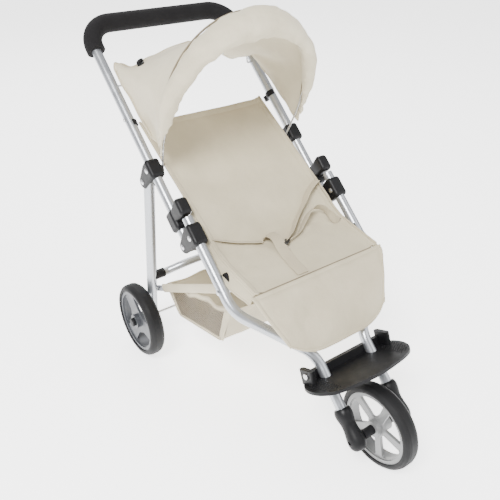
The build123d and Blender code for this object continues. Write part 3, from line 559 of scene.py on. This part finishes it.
# Sub-assemblies ------------------------------------------------------------------------------
@dataclass
class Hood:
    """The hood: a stretched top, a padded rim, piping along its rear edge and a painted shadow line along
    the seam between top and rim.
    """

    shop: MaterialShop

    def top_surface(self, u: float, v: float) -> Vector:
        """The stretched top, u across from left to right, v from the seam back to the tubes."""
        front = seam_arch(u)
        side, s = mirrored(u)
        rear_points = [Vector((139, 128, 436)), Vector((137, 190, 478)), Vector((136, 241, 512)),
                       Vector((132, 247, 526)), Vector((112, 240, 523)), Vector((84, 232, 526)),
                       Vector((42, 236, 538)), Vector((0, 238, 544))]
        rear = catmull(rear_points, s) * MM
        rear.x *= side
        at = front.lerp(rear, v)
        sag = 4 * v * (1 - v) * 7.0 * blend_steps(0.2, 0.6, s)
        pull = 4 * v * (1 - v) * 5.0 * (1 - blend_steps(0.15, 0.55, s))
        at.z -= sag * MM
        at.x -= side * pull * MM
        if side > 0:
            droop = v * v * math.sin(math.pi * blend_steps(0.2, 1.0, s)) * MM
            at.z -= 24.0 * droop
            at.y += 16.0 * droop
        else:
            dx, dy = at.x - BUTTON_AT[0], at.y - BUTTON_AT[1]
            under_button = BUTTON_AT[2] + (0.55 * dx - 0.1 * dy) / 0.83 - 0.0012
            near = math.exp(-(dx ** 2 + dy ** 2) / BUTTON_REACH ** 2)
            at.z += (under_button - at.z) * near
        fold = math.sin(s * 34 + v * 3) * 1.1 * v * (1 - v) * 4
        at.x += side * fold * MM * 0.6
        at.z += fold * MM * 0.4
        return at

    def rim_section(self, u: float) -> list[Vector]:
        """The rim's section at one station: seam, bulge, inner edge and underside."""
        side, s = mirrored(u)
        seam = arch_at(s, (138, 0), (136.5, 60), [(135, 150), (70, 205), (0, 205)])
        bulge = arch_at(s, (144.5, 0), (146, 84), [(146, 146), (60, 221), (0, 221)])
        inner_t = 0.23 * s / 0.3 if s < 0.3 else 0.23 + (s - 0.3) / 0.7 * 0.77
        inner = bezier([(136, 0), (113, 140), (90, 177), (0, 177)], inner_t)
        puff = blend_steps(0.0, 0.35, s)
        anchors = [
            hood_point(seam.x, seam.y, 9.5),
            hood_point((seam.x + bulge.x) / 2 + 2 * puff, (seam.y + bulge.y) / 2 + 4 * puff, 13.0),
            hood_point(bulge.x, bulge.y, 17.5),
            hood_point((bulge.x + inner.x) / 2 + 1.5, (bulge.y + inner.y) / 2, 17.5 + 5.5 * puff),
            hood_point(inner.x, inner.y, 21.0),
            hood_point(inner.x + 3 + 2 * puff, inner.y + 5 * puff, 16.5),
            hood_point((seam.x + inner.x) / 2, (seam.y + inner.y) / 2, 11.0),
        ]
        for a in anchors:
            a.x *= side
        return anchors

    def rim(self) -> bpy.types.Object:
        """The padded rim, inflated as stuffed cloth is."""
        stations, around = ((160, 32))
        mesh = bmesh.new()
        rings = []
        for k in range(stations + 1):
            u = k / stations
            anchors = self.rim_section(u)
            count = len(anchors)
            centre = sum(anchors, Vector()) / count
            end = min(u, 1 - u)
            close = 0.72 + 0.28 * blend_steps(0.0, 0.03, end)
            ring = []
            for j in range(around):
                t = j / around * count
                i, f = int(t) % count, t - int(t)
                p0, p1, p2, p3 = (anchors[(i + o) % count] for o in (-1, 0, 1, 2))
                at = 0.5 * (2 * p1 + (p2 - p0) * f + (2 * p0 - 5 * p1 + 4 * p2 - p3) * f ** 2
                            + (3 * p1 - p0 - 3 * p2 + p3) * f ** 3)
                pleat = noise.noise(Vector((u * 34, 0.35 * math.sin(math.tau * j / around), 0.0))) * 0.13
                ring.append(mesh.verts.new(centre.lerp(at, close * (1 + pleat))))
            rings.append(ring)
        for a, b in zip(rings, rings[1:]):
            for j in range(around):
                n = (j + 1) % around
                mesh.faces.new([a[j], a[n], b[n], b[j]])
        mesh.faces.new(rings[0][::-1])
        mesh.faces.new(rings[-1])
        made = object_from(mesh, "hood_rim_padding", self.shop.get(Finish.HOOD_CLOTH))
        inflate(made, voxel=0.005, pressure=4.0, cap=0.006, shrink=-0.04)
        wrinkle(made, 1.5, 30.0)
        return made

    def build(self) -> list[bpy.types.Object]:
        """Builds the hood.

        Returns:
            Its objects.
        """
        cloth = self.shop.get(Finish.HOOD_CLOTH)
        binding = self.shop.get(Finish.BINDING)
        top = Panel("hood_top_cloth", self.top_surface, (560, 175), cloth, thickness=1.4, hem=5.0,
                    hem_lift=0.7, steps=(90, 36), ripple=2.8, ripple_scale=17.0).build()
        rim = self.rim()
        # painted shadow: a thin dark tube along the seam stands for the shade in the crease between the top
        # and the rim
        seam_line = [seam_arch(i / 40) / MM + Vector((0, 2.5, 3.2)) for i in range(41)]
        seam_shadow = self.shop.get(Finish.SEAM_SHADOW)
        seam = Tube("hood_seam_shadow_line", seam_line, seam_shadow, 1.5, 1.5, samples=160).build()
        edge_line = [self.top_surface(i / 60, 0.995) / MM + Vector((0, 1.0, 0)) for i in range(61)]
        for i, p in enumerate(edge_line):
            p.z += 1.6 * math.sin(i * 1.7) * (1 - blend_steps(0.2, 0.35, min(i, 60 - i) / 60))
        edge = Tube("hood_edge_piping", edge_line, binding, 2.0, 2.0, samples=200).build()
        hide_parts("hood_top")
        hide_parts("hood_rim")
        for piece in (top, edge):
            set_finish(piece, "hood_cloth")
            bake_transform(piece)
        for piece in (rim, seam):
            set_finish(piece, "hood_cloth")
            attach(piece, "hood_front")
        LOG.info("hood: %d faces on the top, %d on the rim", len(top.data.polygons), len(rim.data.polygons))
        return [top, rim, seam, edge]


def wrinkle(piece: bpy.types.Object, depth: float, scale: float) -> None:
    """Puckers a padded piece along its normals.

    Args:
        piece: the object.
        depth: millimetres.
        scale: how close together the puckers are, per metre.
    """
    mesh = bmesh.new()
    mesh.from_mesh(piece.data)
    mesh.normal_update()
    for vert in mesh.verts:
        stretched = Vector((vert.co.x * 1.2, vert.co.y * 0.8, vert.co.z * 1.2))
        vert.co += vert.normal * noise.fractal(stretched * scale, 1.0, 2.1, 4) * depth * MM
    mesh.to_mesh(piece.data)
    mesh.free()


def inflate(piece: bpy.types.Object, voxel: float, pressure: float, cap: float, shrink: float) -> None:
    """Fills a sewn piece by a short cloth simulation, and keeps each point near where it was cut.

    Args:
        piece: the object.
        voxel: the remesh's size in metres.
        pressure: the stuffing's pressure.
        cap: the furthest that a point may move, in metres.
        shrink: how far the cloth tightens, as a share.
    """
    bpy.context.view_layer.objects.active = piece
    remesh = piece.modifiers.new("remesh", "REMESH")
    remesh.mode = "VOXEL"
    remesh.voxel_size = voxel
    remesh.use_smooth_shade = True
    bpy.ops.object.modifier_apply(modifier=remesh.name)
    cut = [v.co.copy() for v in piece.data.vertices]
    cloth = piece.modifiers.new("cloth", "CLOTH")
    cloth.settings.use_pressure = True
    cloth.settings.uniform_pressure_force = pressure
    cloth.settings.shrink_min = shrink
    cloth.settings.tension_stiffness = 18
    cloth.settings.compression_stiffness = 18
    cloth.settings.bending_stiffness = 0.4
    cloth.settings.quality = 4
    cloth.settings.effector_weights.gravity = 0
    cloth.point_cache.frame_start = 1
    cloth.point_cache.frame_end = 20
    scene = bpy.context.scene
    for step in range(1, 21):
        scene.frame_set(step)
    shaped = piece.evaluated_get(bpy.context.evaluated_depsgraph_get())
    moved = [v.co.copy() for v in shaped.data.vertices]
    piece.modifiers.remove(cloth)
    for vert, start, end in zip(piece.data.vertices, cut, moved, strict=True):
        shift = end - start
        if shift.length > cap:
            shift = shift.normalized() * cap
        vert.co = start + shift
    scene.frame_set(1)
    subdivide = piece.modifiers.new("smooth", "SUBSURF")
    subdivide.levels = 1
    subdivide.render_levels = 1
    bpy.ops.object.modifier_apply(modifier=subdivide.name)
    for polygon in piece.data.polygons:
        polygon.use_smooth = True
    LOG.info("%s: inflated to %d points", piece.name, len(piece.data.vertices))


@dataclass
class Seat:
    """The sling seat with its piped sides, gussets and leg apron."""

    shop: MaterialShop
    profile: tuple[Point, ...] = ((201, 433), (137, 393.5), (73, 354.4), (9, 315), (-8, 302.5), (-23, 293),
                                  (-38, 286.2), (-56, 282), (-89, 276.3), (-122, 271))

    def spine(self, v: float) -> Vector:
        """The seat's middle line from the top edge to the front seam, in millimetres."""
        return catmull([Vector((0, y, z)) for y, z in self.profile], v)

    def surface(self, u: float, v: float) -> Vector:
        """The sling, u across from left to right."""
        x = (u * 2 - 1) * SLING_HALF_WIDTH
        at = self.spine(v)
        ahead = self.spine(min(v + 0.01, 1)) - self.spine(max(v - 0.01, 0))
        normal = Vector((0, -ahead.z, ahead.y)).normalized()
        if normal.z > 0:
            normal = -normal
        slack = 1 - abs(u * 2 - 1) ** 2.2
        sag = lap = 0.0
        if v < SEAT_CREASE:
            sag = 7.5 * slack * math.sin(math.pi * v / SEAT_CREASE) ** 0.8
        else:
            lap = 2.5 * slack * math.sin(math.pi * (v - SEAT_CREASE) / (1 - SEAT_CREASE))
        near_crease = math.exp(-((v - 0.60) / 0.06) ** 2)
        pucker = near_crease * 1.6 * math.sin(x * 0.11) * slack
        lip = 4.5 * blend_steps(108, 122, abs(x))
        at = at + normal * (sag - lap + pucker - lip)
        at.x = x
        return at * MM

    def gusset(self, side: float) -> Surface:
        """The strip that joins the seat's side to the frame, from the crease of the side lip outwards."""

        def surface(u: float, v: float) -> Vector:
            span = 0.27 + v * 0.73
            top = self.surface(0.0 if side < 0 else 1.0, span)
            y = top.y / MM
            out = 12.5 if y > -95 else 12.5 - 4 * blend_steps(-95, -120, y)
            drop = 15 + 3.5 * math.sin(v * 9)
            wave = 1.3 * math.sin(v * 26) * u
            return top + Vector((side * (out * u ** 0.8 + wave), 0, -drop * u)) * MM

        return surface

    def apron_half(self, drop: float) -> float:
        """Half the apron's width at a distance down it, in millimetres."""
        widths = [131, 127, 122, 116.5, 110, 103, 96, 90]
        at = min(max(drop / APRON_DROP * 7, 0), 6.999)
        i = int(at)
        return widths[i] + (widths[i + 1] - widths[i]) * (at - i)

    def apron_surface(self, u: float, v: float) -> Vector:
        """The leg apron, from the seam at the seat's front down to its rounded lower edge."""
        way = u * 2 - 1
        length = APRON_DROP - 27.0 * abs(way) ** 5
        drop = v * length
        x = way * self.apron_half(drop)
        fall = Vector((0, -182.5 + 122, 183.5 - 271)).normalized()
        out = Vector((0, fall.z, -fall.y))
        bulge = 5.0 * (1 - abs(way) ** 2) * math.sin(math.pi * min(v * 1.1, 1.0))
        crumple = 1.4 * math.sin(way * 7 + v * 4) * math.sin(math.pi * v)
        top = Vector((0, -123.5, 272.0))
        at = top + fall * drop + out * (bulge + crumple + 3.5 * blend_steps(0.0, 0.12, v))
        at.x = x
        return at * MM

    def build(self) -> list[bpy.types.Object]:
        """Builds the seat.

        Returns:
            Its objects.
        """
        cloth = self.shop.get(Finish.SEAT_CLOTH)
        binding = self.shop.get(Finish.BINDING)
        sling = Panel("seat_sling", self.surface, (248, 372), cloth, hem=9.0, hem_lift=0.6,
                      steps=(44, 84), ripple=2.4, ripple_scale=13.0, hems=(True, True, True, False)).build()
        apron = Panel("leg_apron_cloth", self.apron_surface, (230, 113), cloth, hem=6.0, hem_lift=0.8,
                      steps=(56, 30), ripple=2.8, ripple_scale=17.0).build()
        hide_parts("seat_back", "seat_pan")
        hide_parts("leg_apron")
        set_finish(sling, "seat_cloth")
        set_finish(apron, "seat_cloth")
        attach(apron, "front_frame")
        made = [sling, apron]
        riders = []
        for side, word in ((-1.0, "left"), (1.0, "right")):
            strip = Panel(f"seat_gusset_{word}", self.gusset(side), (22, 285), cloth, hem=3.0, hem_lift=0.4,
                          steps=(8, 80), ripple=0.8).build()
            line = [self.surface(0.008 if side < 0 else 0.992, k / 60) / MM + Vector((side * 1.0, 0, 1.2))
                    for k in range(61)]
            piping = Tube(f"seat_piping_{word}", line, binding, 2.1, 2.1, samples=200).build()
            riders += [strip, piping]
            hem_line = [self.apron_surface(0.012 if side < 0 else 0.988, k / 30) / MM for k in range(31)]
            band = Tube(f"apron_band_{word}", hem_line, binding, 2.2, 1.4, up=(0, -0.82, 0.57),
                        samples=70).build()
            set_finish(band, "seat_cloth")
            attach(band, "front_frame")
            made.append(band)
        # painted shadow: a thin dark tube along the front seam stands for the shade under the seat's
        # overhanging edge
        seam = [self.surface(k / 30, 1.0) / MM + Vector((0, -0.8, 1.6)) for k in range(1, 30)]
        front = Tube("seat_front_shadow_line", seam, self.shop.get(Finish.SEAM_SHADOW), 1.0, 1.0, samples=90).build()
        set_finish(front, "seat_cloth")
        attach(front, "front_frame")
        for piece in (sling, *riders):
            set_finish(piece, "seat_cloth")
            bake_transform(piece)
        LOG.info("seat: %d faces on the sling", len(sling.data.polygons))
        return made + riders + [front]


@dataclass
class Harness:
    """The webbing: a crotch strap over a loop and two waist straps with a small buckle."""

    shop: MaterialShop

    def build(self) -> list[bpy.types.Object]:
        """Builds the straps.

        Returns:
            Their objects.
        """
        web = self.shop.get(Finish.WEBBING)
        crotch_line = [(-32, -24, 286), (-30, -27, 296), (-27, -36, 302), (-24, -48, 298), (-24, -60, 289),
                       (-26, -78, 282.5), (-28, -98, 278.5), (-29, -119, 274.5)]
        crotch = Tube("crotch_webbing", crotch_line, web, 10.5, 0.9, samples=90, sides=20).build()
        right_line = [(-9, -52, 291), (14, -38, 293), (36, -20, 298), (56, -6, 304), (74, 4, 312),
                      (90, 14, 321), (106, 20, 329), (119, 24, 334)]
        right = Tube("waist_webbing_right", right_line, web, 8.0, 0.8, samples=90, sides=20,
                     twist=lambda t: -1.1 + 0.75 * t).build()
        loop_line = [(-2, -53, 289), (22, -44, 290), (46, -30, 297), (66, -20, 306), (82, -18, 311),
                     (92, -26, 310), (97, -38, 303), (104, -44, 293), (112, -46, 288)]
        loop = Tube("waist_webbing_loop", loop_line, web, 7.0, 0.8, samples=90, sides=20,
                    twist=lambda t: -1.25 + 0.5 * math.sin(t * 5)).build()
        left_line = [(-42, -30, 291), (-58, -24, 293), (-80, -16, 297), (-102, -8, 303), (-120, -2, 309)]
        left = Tube("waist_webbing_left", left_line, web, 6.5, 0.8, samples=60, sides=20,
                    twist=lambda t: 0.3).build()
        mesh = bmesh.new()
        bmesh.ops.create_cube(mesh, size=1.0)
        bmesh.ops.scale(mesh, vec=Vector((14, 9, 4)) * MM, verts=mesh.verts)
        bmesh.ops.bevel(mesh, geom=mesh.edges[:], offset=1.2 * MM, segments=3, profile=0.5, affect="EDGES",
                        material=-1)
        bmesh.ops.rotate(mesh, matrix=Matrix.Rotation(0.5, 3, "Z"), verts=mesh.verts)
        bmesh.ops.translate(mesh, vec=Vector((-10, -54, 291.5)) * MM, verts=mesh.verts)
        buckle = object_from(mesh, "harness_clip", self.shop.get(Finish.BUCKLE))
        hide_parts("crotch_strap")
        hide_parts("waist_strap_right")
        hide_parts("waist_strap_left")
        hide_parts("harness_buckle")
        straps = [crotch, right, loop, left]
        for piece in straps:
            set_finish(piece, "strap_web")
        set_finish(buckle, "buckle_plastic")
        for piece in (crotch, buckle, left, right, loop):
            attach(piece, "front_frame")
        LOG.info("harness: %d straps and a buckle", len(straps))
        return [*straps, buckle]


def window_of(wall: Surface, u0: float, u1: float, v0: float, v1: float) -> Surface:
    """The piece of a wall between two fractions each way."""
    return lambda u, v: wall(u0 + (u1 - u0) * u, v0 + (v1 - v0) * v)


@dataclass
class Basket:
    """The basket: a cloth tray with net windows in its sides."""

    shop: MaterialShop

    def tray(self, u: float, v: float) -> Vector:
        """Rear wall, floor and front wall in one strip, u across."""
        corners = [(135, 153), (130, 138), (121, 120), (112, 104), (103, 97), (90, 99.5), (60, 107),
                   (20, 117), (-20, 126.5), (-32, 133), (-40, 150), (-50, 172), (-60, 194), (-71, 216)]
        at = catmull([Vector((0, *c)) for c in corners], v)
        end = min(v, 1 - v)
        half = 119 + 10 * (1 - blend_steps(0.0, 0.26, end))
        x = (u * 2 - 1) * half
        sag = 4 * (1 - (u * 2 - 1) ** 2) * blend_steps(0.2, 0.35, end)
        at.z -= sag
        at.x = x
        if end < 0.06:
            at.z += 1.8 * math.sin(x * 0.09) * (1 - end / 0.06)
        return at * MM

    def side_point(self, y: float, z: float, side: float) -> Vector:
        """A point on a side wall, leaning out towards the top."""
        floor = 128 - (y + 30) * (31 / 136)
        rise = min(max((z - floor) / 85, 0), 1)
        return Vector((side * (119.5 + 10.0 * rise ** 0.8), y, z)) * MM

    def wall(self, side: float) -> Surface:
        """A side wall as a surface, u from rear to front, v from the top edge down."""

        def surface(u: float, v: float) -> Vector:
            top = Vector((135, 153)).lerp(Vector((-71, 218)), u)
            top.y += 2.6 * math.sin(u * 13) * (1 - v) + 2.0 * math.sin(u * 29) * (1 - v)
            top.y += 5.0 * math.sin(math.pi * u)
            low = Vector((106, 97)).lerp(Vector((-32, 128)), u)
            y, z = top.lerp(low, v)
            at = self.side_point(y, z, side)
            at.x += side * 1.5 * math.sin(u * 17) * (1 - v) * MM
            return at

        return surface

    def net(self, side: float) -> bpy.types.Object:
        """Diagonal net filling the window in one side wall."""
        surface = self.wall(side)
        columns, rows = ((64, 32))
        mesh = bmesh.new()
        grid = {}
        for i in range(columns + 1):
            for j in range(rows + 1):
                if (i + j) % 2:
                    continue
                u = 0.04 + 0.90 * i / columns
                v = 0.10 + 0.84 * j / rows
                grid[i, j] = mesh.verts.new(surface(u, v))
        for i, j in grid:
            around = ((i, j), (i + 1, j + 1), (i, j + 2), (i - 1, j + 1))
            corners = [grid.get(place) for place in around]
            if all(corners):
                mesh.faces.new(corners)
        bmesh.ops.wireframe(mesh, faces=mesh.faces[:], thickness=1.15 * MM, offset=0.0, use_replace=True,
                            use_boundary=True, use_even_offset=True, use_relative_offset=False)
        word = "left" if side < 0 else "right"
        return object_from(mesh, f"basket_net_{word}", self.shop.get(Finish.NET))

    def build(self) -> list[bpy.types.Object]:
        """Builds the basket.

        Returns:
            Its objects.
        """
        cloth = self.shop.get(Finish.SEAT_CLOTH)
        binding = self.shop.get(Finish.BINDING)
        tray = Panel("basket_tray", self.tray, (232, 322), cloth, hem=7.0, hem_lift=0.7, steps=(34, 90),
                     ripple=1.6, ripple_scale=17.0, hems=(False, False, True, True)).build()
        made = [tray]
        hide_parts("basket")
        for side, word in ((-1.0, "left"), (1.0, "right")):
            net = self.net(side)
            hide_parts(f"basket_mesh_{word}")
            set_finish(net, "mesh_net")
            part = partial(window_of, self.wall(side))
            frames = [
                Panel(f"basket_front_cheek_{word}", part(0.92, 1.0, 0.0, 1.0), (14, 92), cloth, hem=3,
                      hem_lift=0.4, steps=(6, 24), ripple=1.4),
                Panel(f"basket_top_hem_{word}", part(0.0, 0.95, -0.02, 0.12), (190, 12), binding, hem=2,
                      hem_lift=0.5, steps=(50, 4), ripple=0.9, thickness=2.4),
                Panel(f"basket_low_hem_{word}", part(0.0, 0.95, 0.92, 1.02), (140, 9), binding, hem=2,
                      hem_lift=0.4, steps=(40, 4), ripple=0.6, thickness=2.0),
                Panel(f"basket_rear_hem_{word}", part(-0.01, 0.05, 0.0, 1.0), (9, 66), binding, hem=2,
                      hem_lift=0.4, steps=(4, 30), ripple=0.5, thickness=2.0),
            ]
            hems = [f.build() for f in frames]
            made += [net, *hems]
        for piece in made:
            if piece.get("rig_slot") is None:
                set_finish(piece, "seat_cloth")
            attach(piece, "front_frame")
            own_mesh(piece)
        for side, word in ((-1.0, "left"), (1.0, "right")):
            line = [(side * 132.7, y, 259 - (y + 69.5) * 0.5515) for y in (-54, -20, 20, 60, 100, 140)]
            sleeve = Tube(f"link_sleeve_{word}", line, cloth, 2.3, 8.0, samples=60, sides=20).build()
            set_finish(sleeve, "seat_cloth")
            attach(sleeve, "side_links")
            made.append(sleeve)
        LOG.info("basket: %d pieces", len(made))
        return made


@dataclass
class Trim:
    """Small details on the hard pieces."""

    shop: MaterialShop

    def grip_dots(self) -> bpy.types.Object:
        """Raised dots on the footrest's wings."""
        slope = math.radians(24.0)
        along = Vector((0, math.cos(slope), -math.sin(slope)))
        up = Vector((0, math.sin(slope), math.cos(slope)))
        origin = Vector((0, -207, 141))
        mesh = bmesh.new()
        for side in (-1, 1):
            for i in range(7):
                for j in range(10):
                    x = side * (64 + i * 4.2)
                    y = -48 + j * 4.6 + (i % 2) * 2.3
                    if abs(x) > 92 - max(0, (-y - 20)) * 0.42:
                        continue
                    at = origin + along * y + up * 2.4
                    at.x = x
                    turn = Matrix.Rotation(-slope, 4, "X")
                    bmesh.ops.create_uvsphere(mesh, u_segments=8, v_segments=5, radius=1.15 * MM,
                                              matrix=Matrix.Translation(at * MM) @ turn)
        return object_from(mesh, "footrest_grip_dots", self.shop.get(Finish.BRACKET))

    def build(self) -> list[bpy.types.Object]:
        """Builds the trim.

        Returns:
            Its objects.
        """
        dots = self.grip_dots()
        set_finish(dots, "bracket_plastic")
        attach(dots, "front_frame")
        return [dots]


# Studio ---------------------------------------------------------------------------------------
@dataclass(frozen=True)
class Studio:
    """Floor, soft lights and the camera."""

    camera_at: tuple[float, float, float] = (-0.5673, -0.7036, 0.7910)
    azimuth: float = -36.76
    elevation: float = 31.11
    roll: float = 0.57
    lens: float = 44.9

    def area(self, name: str, at: Sequence[float], target: Sequence[float], size: float,
             power: float) -> None:
        """A soft square lamp.

        Args:
            name: the lamp's name.
            at: where it is, in metres.
            target: where it points.
            size: its width in metres.
            power: watts.
        """
        data = bpy.data.lights.new(name, "AREA")
        data.size = size
        data.energy = power
        lamp = bpy.data.objects.new(name, data)
        lamp.location = at
        way = Vector(target) - Vector(at)
        lamp.rotation_euler = way.to_track_quat("-Z", "Y").to_euler()
        bpy.context.scene.collection.objects.link(lamp)

    def build(self) -> None:
        """Builds the studio."""
        mesh = bmesh.new()
        bmesh.ops.create_grid(mesh, x_segments=1, y_segments=1, size=6.0)
        floor_material = bpy.data.materials.new("floor")
        floor_material.use_nodes = True
        shader = floor_material.node_tree.nodes["Principled BSDF"]
        shader.inputs["Base Color"].default_value = (0.95, 0.95, 0.95, 1)
        shader.inputs["Roughness"].default_value = 0.75
        shader.inputs["Emission Color"].default_value = (1, 1, 1, 1)
        shader.inputs["Emission Strength"].default_value = 2.4
        floor = object_from(mesh, "floor", floor_material)
        floor.location.z = -0.0005
        world = bpy.data.worlds.new("studio")
        world.use_nodes = True
        world.node_tree.nodes["Background"].inputs["Color"].default_value = (1, 1, 1, 1)
        world.node_tree.nodes["Background"].inputs["Strength"].default_value = 0.75
        bpy.context.scene.world = world
        self.area("key", (-1.6, -1.0, 2.4), (0, 0, 0.25), 1.0, 150)
        self.area("fill", (1.4, -1.8, 1.6), (0, 0, 0.25), 2.0, 34)
        self.area("back", (0.6, 1.8, 2.0), (0, 0, 0.3), 1.6, 40)
        data = bpy.data.cameras.new("camera")
        data.lens = self.lens
        data.sensor_width = 36.0
        data.clip_end = 50
        camera = bpy.data.objects.new("camera", data)
        az, el = math.radians(self.azimuth), math.radians(self.elevation)
        back = Vector((math.sin(az) * math.cos(el), -math.cos(az) * math.cos(el), math.sin(el)))
        turn = back.to_track_quat("Z", "Y").to_matrix() @ Matrix.Rotation(math.radians(self.roll), 3, "Z")
        camera.matrix_world = Matrix.Translation(Vector(self.camera_at)) @ turn.to_4x4()
        bpy.context.scene.collection.objects.link(camera)
        bpy.context.scene.camera = camera


def dress(shop: MaterialShop) -> None:
    """Gives every CAD node that stays in view its finish.

    Args:
        shop: where the materials come from.
    """
    for finish, names in NODE_FINISHES.items():
        for name in names:
            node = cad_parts[name]
            node.data.materials.clear()
            node.data.materials.append(shop.get(finish))
    LOG.info("dressed %d CAD nodes", sum(len(names) for names in NODE_FINISHES.values()))


def main() -> None:
    """Builds the stroller's looks and the studio round it."""
    logging.basicConfig(level=logging.INFO, format="%(name)s: %(message)s")
    shop = MaterialShop()
    dress(shop)
    for part in (Seat(shop), Harness(shop), Basket(shop), Hood(shop), Trim(shop)):
        pieces = part.build()
        LOG.info("%s: %d objects", type(part).__name__, len(pieces))
    Studio().build()


if __name__ == "__main__":
    main()
